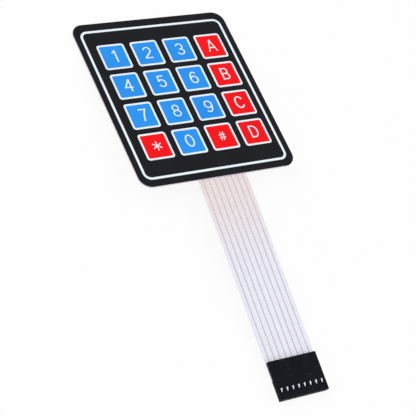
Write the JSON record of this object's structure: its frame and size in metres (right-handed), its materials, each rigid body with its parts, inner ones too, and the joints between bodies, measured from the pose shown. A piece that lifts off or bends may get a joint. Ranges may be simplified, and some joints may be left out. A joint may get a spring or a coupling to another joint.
{
  "type": "membrane keypad",
  "caption": "Flat self-adhesive membrane keypad with blue and red printed keys on black, a drooping film tail with silver lines and a black socket connector at its end.",
  "frame": {"origin": "middle of the pad's rear face, on the outside of the release liner", "axes": "+Z towards the user, +Y towards the first row of keys, +X to the right; the tail leaves along -Y"},
  "size_m": [0.0692, 0.1654, 0.0148],
  "materials": {
    "liner_paper": "matt coated paper",
    "clear_adhesive": "milky adhesive film",
    "circuit_film": "milky polyester film",
    "spacer_film": "milky polyester film",
    "cover_film": "satin polyester film",
    "overlay_black": "fine matt texture",
    "ink_white": "matt print",
    "ink_blue": "matt print",
    "ink_red": "matt print",
    "silver_ink": "matt silver print",
    "housing_black": "fine moulded texture",
    "tinned_metal": "bright tin plate"
  },
  "bodies": {
    "root": {"release_liner_left": "liner_paper", "release_liner_right": "liner_paper", "rear_adhesive": "clear_adhesive", "lower_circuit_film": "circuit_film", "spacer": "spacer_film", "upper_circuit_film": "circuit_film", "overlay_adhesive": "clear_adhesive", "graphic_overlay": "overlay_black", "white_line_print": "ink_white", "blue_key_print": "ink_blue", "red_key_print": "ink_red", "tail_cover_film": "cover_film", "connector_housing": "housing_black", "row_conductor_1": "silver_ink", "column_conductor_1": "silver_ink", "transfer_dot_1": "silver_ink", "column_lead_1": "silver_ink", "row_conductor_2": "silver_ink", "column_conductor_2": "silver_ink", "transfer_dot_2": "silver_ink", "column_lead_2": "silver_ink", "row_conductor_3": "silver_ink", "column_conductor_3": "silver_ink", "transfer_dot_3": "silver_ink", "column_lead_3": "silver_ink", "row_conductor_4": "silver_ink", "column_conductor_4": "silver_ink", "transfer_dot_4": "silver_ink", "column_lead_4": "silver_ink", "contact_1": "tinned_metal", "contact_2": "tinned_metal", "contact_3": "tinned_metal", "contact_4": "tinned_metal", "contact_5": "tinned_metal", "contact_6": "tinned_metal", "contact_7": "tinned_metal", "contact_8": "tinned_metal"}
  },
  "joints": []
}
